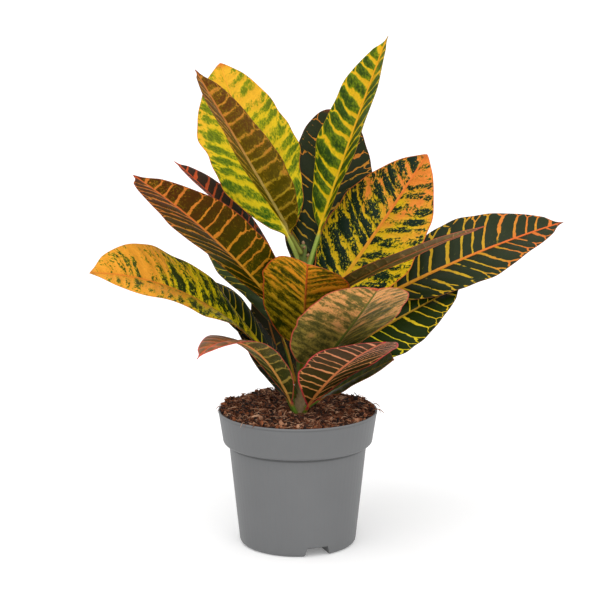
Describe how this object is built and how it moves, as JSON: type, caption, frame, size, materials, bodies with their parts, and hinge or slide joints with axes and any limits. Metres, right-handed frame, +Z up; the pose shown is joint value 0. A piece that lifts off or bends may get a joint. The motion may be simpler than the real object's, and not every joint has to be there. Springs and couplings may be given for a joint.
{
  "type": "potted croton plant",
  "caption": "Leafy house plant with long oval variegated leaves spiralling up one short stem, planted in soil in a round tapering nursery pot that stands on its flat base.",
  "frame": {"origin": "middle of the pot's flat base, on the surface it stands on", "axes": "+Z up along the pot's axis, -Y towards the plant's front, +X to the right seen from the front"},
  "size_m": [0.3705, 0.2658, 0.4064],
  "materials": {
    "pot_plastic": "grey satin moulded plastic",
    "potting_soil": "rough brown coir and peat crumbs",
    "stem_bark": "green-brown young bark",
    "leaf_gold": "glossy yellow leaf with green mottling",
    "leaf_green": "glossy green leaf with yellow veins",
    "leaf_dark": "glossy dark green leaf with yellow and orange veins",
    "leaf_bronze": "leaf seen from below: matt bronze and olive with orange veins",
    "leaf_mottled": "glossy orange and yellow leaf with dark green blotches"
  },
  "bodies": {
    "root": {"pot": "pot_plastic", "soil": "potting_soil", "stem": "stem_bark", "leaf_01": "leaf_bronze", "leaf_02": "leaf_bronze", "leaf_03": "leaf_dark", "leaf_04": "leaf_green", "leaf_05": "leaf_dark", "leaf_06": "leaf_dark", "leaf_07": "leaf_dark", "leaf_08": "leaf_dark", "leaf_09": "leaf_mottled", "leaf_10": "leaf_bronze", "leaf_11": "leaf_dark", "leaf_12": "leaf_dark", "leaf_13": "leaf_bronze", "leaf_14": "leaf_dark", "leaf_15": "leaf_dark", "leaf_16": "leaf_dark", "leaf_17": "leaf_dark", "leaf_18": "leaf_bronze", "leaf_19": "leaf_mottled", "leaf_20": "leaf_dark", "leaf_21": "leaf_bronze", "leaf_22": "leaf_dark", "leaf_23": "leaf_dark", "leaf_24": "leaf_dark", "leaf_25": "leaf_green", "leaf_26": "leaf_gold", "leaf_27": "leaf_bronze"}
  },
  "joints": []
}
